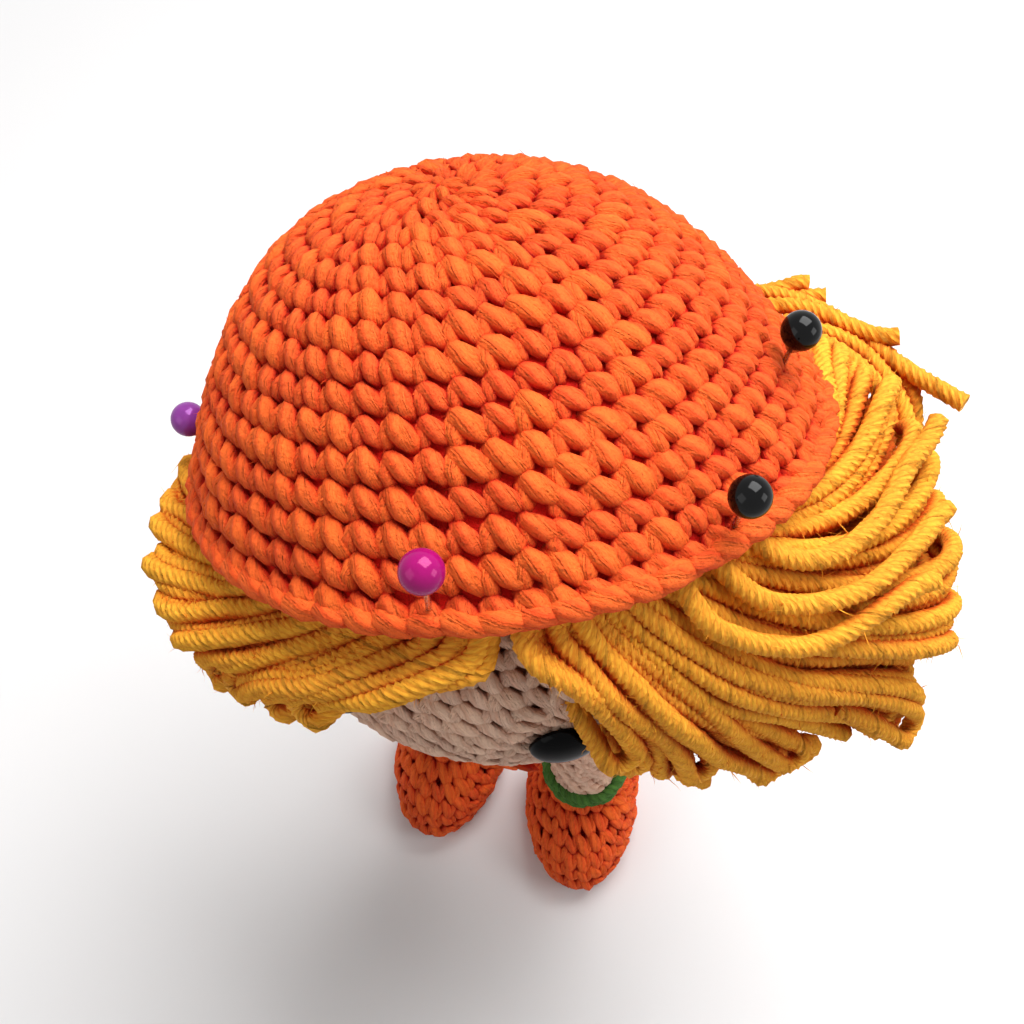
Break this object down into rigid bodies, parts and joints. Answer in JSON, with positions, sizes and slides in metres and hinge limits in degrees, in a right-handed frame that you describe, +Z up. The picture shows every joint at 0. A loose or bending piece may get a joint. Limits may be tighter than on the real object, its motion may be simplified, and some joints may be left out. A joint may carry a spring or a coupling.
{
  "type": "amigurumi doll",
  "caption": "Crocheted stuffed doll with a large round head, bundled yarn hair, small body, jointed limbs, shoes and a bowl-shaped hat held on by ball-head pins.",
  "frame": {"origin": "middle of the bounding box on the ground, under the soles of the shoes", "axes": "+Z up along the standing doll, -Y the way its face looks, +X towards the doll's own left"},
  "size_m": [0.1114, 0.0864, 0.1838],
  "materials": {
    "orange_yarn": "plied cotton and acrylic yarn in single crochet, matt",
    "cream_yarn": "plied yarn in single crochet, matt",
    "hair_yarn": "loose plied yarn strands, matt with a few stray fibres",
    "green_yarn": "plied yarn, matt",
    "stuffing": "loose polyester fibre filling",
    "insole_card": "plain card",
    "black_gloss": "polished black plastic",
    "magenta_pearl": "pearl-coated plastic",
    "purple_pearl": "pearl-coated plastic",
    "pin_steel": "nickel-plated steel wire",
    "washer_plastic": "moulded plastic"
  },
  "bodies": {
    "torso": {"body_cover": "orange_yarn", "body_stuffing": "stuffing", "arm_joint_yarn": "cream_yarn", "leg_joint_yarn": "cream_yarn"},
    "neck": {"neck_stuffing": "stuffing"},
    "head": {"head_cover": "cream_yarn", "head_stuffing": "stuffing", "eye_left": "black_gloss", "eye_right": "black_gloss", "eye_washer_left": "washer_plastic", "eye_washer_right": "washer_plastic", "hat": "orange_yarn", "hair_front_right": "hair_yarn", "hair_side_right": "hair_yarn", "hair_back_right": "hair_yarn", "hair_back": "hair_yarn", "hair_back_left": "hair_yarn", "hair_bunch_left": "hair_yarn", "hair_front_left": "hair_yarn"},
    "arm_left": {"arm_cover_left": "cream_yarn", "arm_stuffing_left": "stuffing"},
    "arm_right": {"arm_cover_right": "cream_yarn", "arm_stuffing_right": "stuffing"},
    "leg_left": {"leg_cover_left": "cream_yarn", "leg_stuffing_left": "stuffing", "shoe_left": "orange_yarn", "insole_left": "insole_card", "foot_stuffing_left": "stuffing", "ankle_trim_left": "green_yarn"},
    "leg_right": {"leg_cover_right": "cream_yarn", "leg_stuffing_right": "stuffing", "shoe_right": "orange_yarn", "insole_right": "insole_card", "foot_stuffing_right": "stuffing", "ankle_trim_right": "green_yarn"},
    "pin_magenta": {"pin_head_magenta": "magenta_pearl", "pin_shaft_magenta": "pin_steel"},
    "pin_black_front": {"pin_head_black_front": "black_gloss", "pin_shaft_black_front": "pin_steel"},
    "pin_black_side": {"pin_head_black_side": "black_gloss", "pin_shaft_black_side": "pin_steel"},
    "pin_purple": {"pin_head_purple": "purple_pearl", "pin_shaft_purple": "pin_steel"}
  },
  "joints": [
    {"name": "head_nod", "type": "hinge", "parent": "torso", "child": "neck", "pos_m": [-0.00718, 0.00003, 0.1], "axis": [1, 0, 0], "range_deg": [-12, 12]},
    {"name": "head_turn", "type": "hinge", "parent": "neck", "child": "head", "pos_m": [-0.00718, 0.00003, 0.1], "axis": [0, 0, 1], "range_deg": [-38, 38]},
    {"name": "shoulder_left", "type": "hinge", "parent": "torso", "child": "arm_left", "pos_m": [0.00875, 0.00003, 0.093], "axis": [-1, 0, 0], "range_deg": [-60, 85]},
    {"name": "shoulder_right", "type": "hinge", "parent": "torso", "child": "arm_right", "pos_m": [-0.0231, 0.00003, 0.093], "axis": [-1, 0, 0], "range_deg": [-60, 85]},
    {"name": "hip_left", "type": "hinge", "parent": "torso", "child": "leg_left", "pos_m": [0.00582, 0.00003, 0.058], "axis": [-1, 0, 0], "range_deg": [-25, 80]},
    {"name": "hip_right", "type": "hinge", "parent": "torso", "child": "leg_right", "pos_m": [-0.02018, 0.00003, 0.058], "axis": [-1, 0, 0], "range_deg": [-25, 80]},
    {"name": "pull_magenta", "type": "slide", "parent": "head", "child": "pin_magenta", "axis": [-0.0016, -0.0697, 0.9976], "range_m": [0, 0.034]},
    {"name": "pull_black_front", "type": "slide", "parent": "head", "child": "pin_black_front", "axis": [0.0941, -0.0456, 0.9945], "range_m": [0, 0.034]},
    {"name": "pull_black_side", "type": "slide", "parent": "head", "child": "pin_black_side", "axis": [0.1313, 0.0462, 0.9903], "range_m": [0, 0.034]},
    {"name": "pull_purple", "type": "slide", "parent": "head", "child": "pin_purple", "axis": [-0.7067, -0.0245, 0.7071], "range_m": [0, 0.034]}
  ]
}
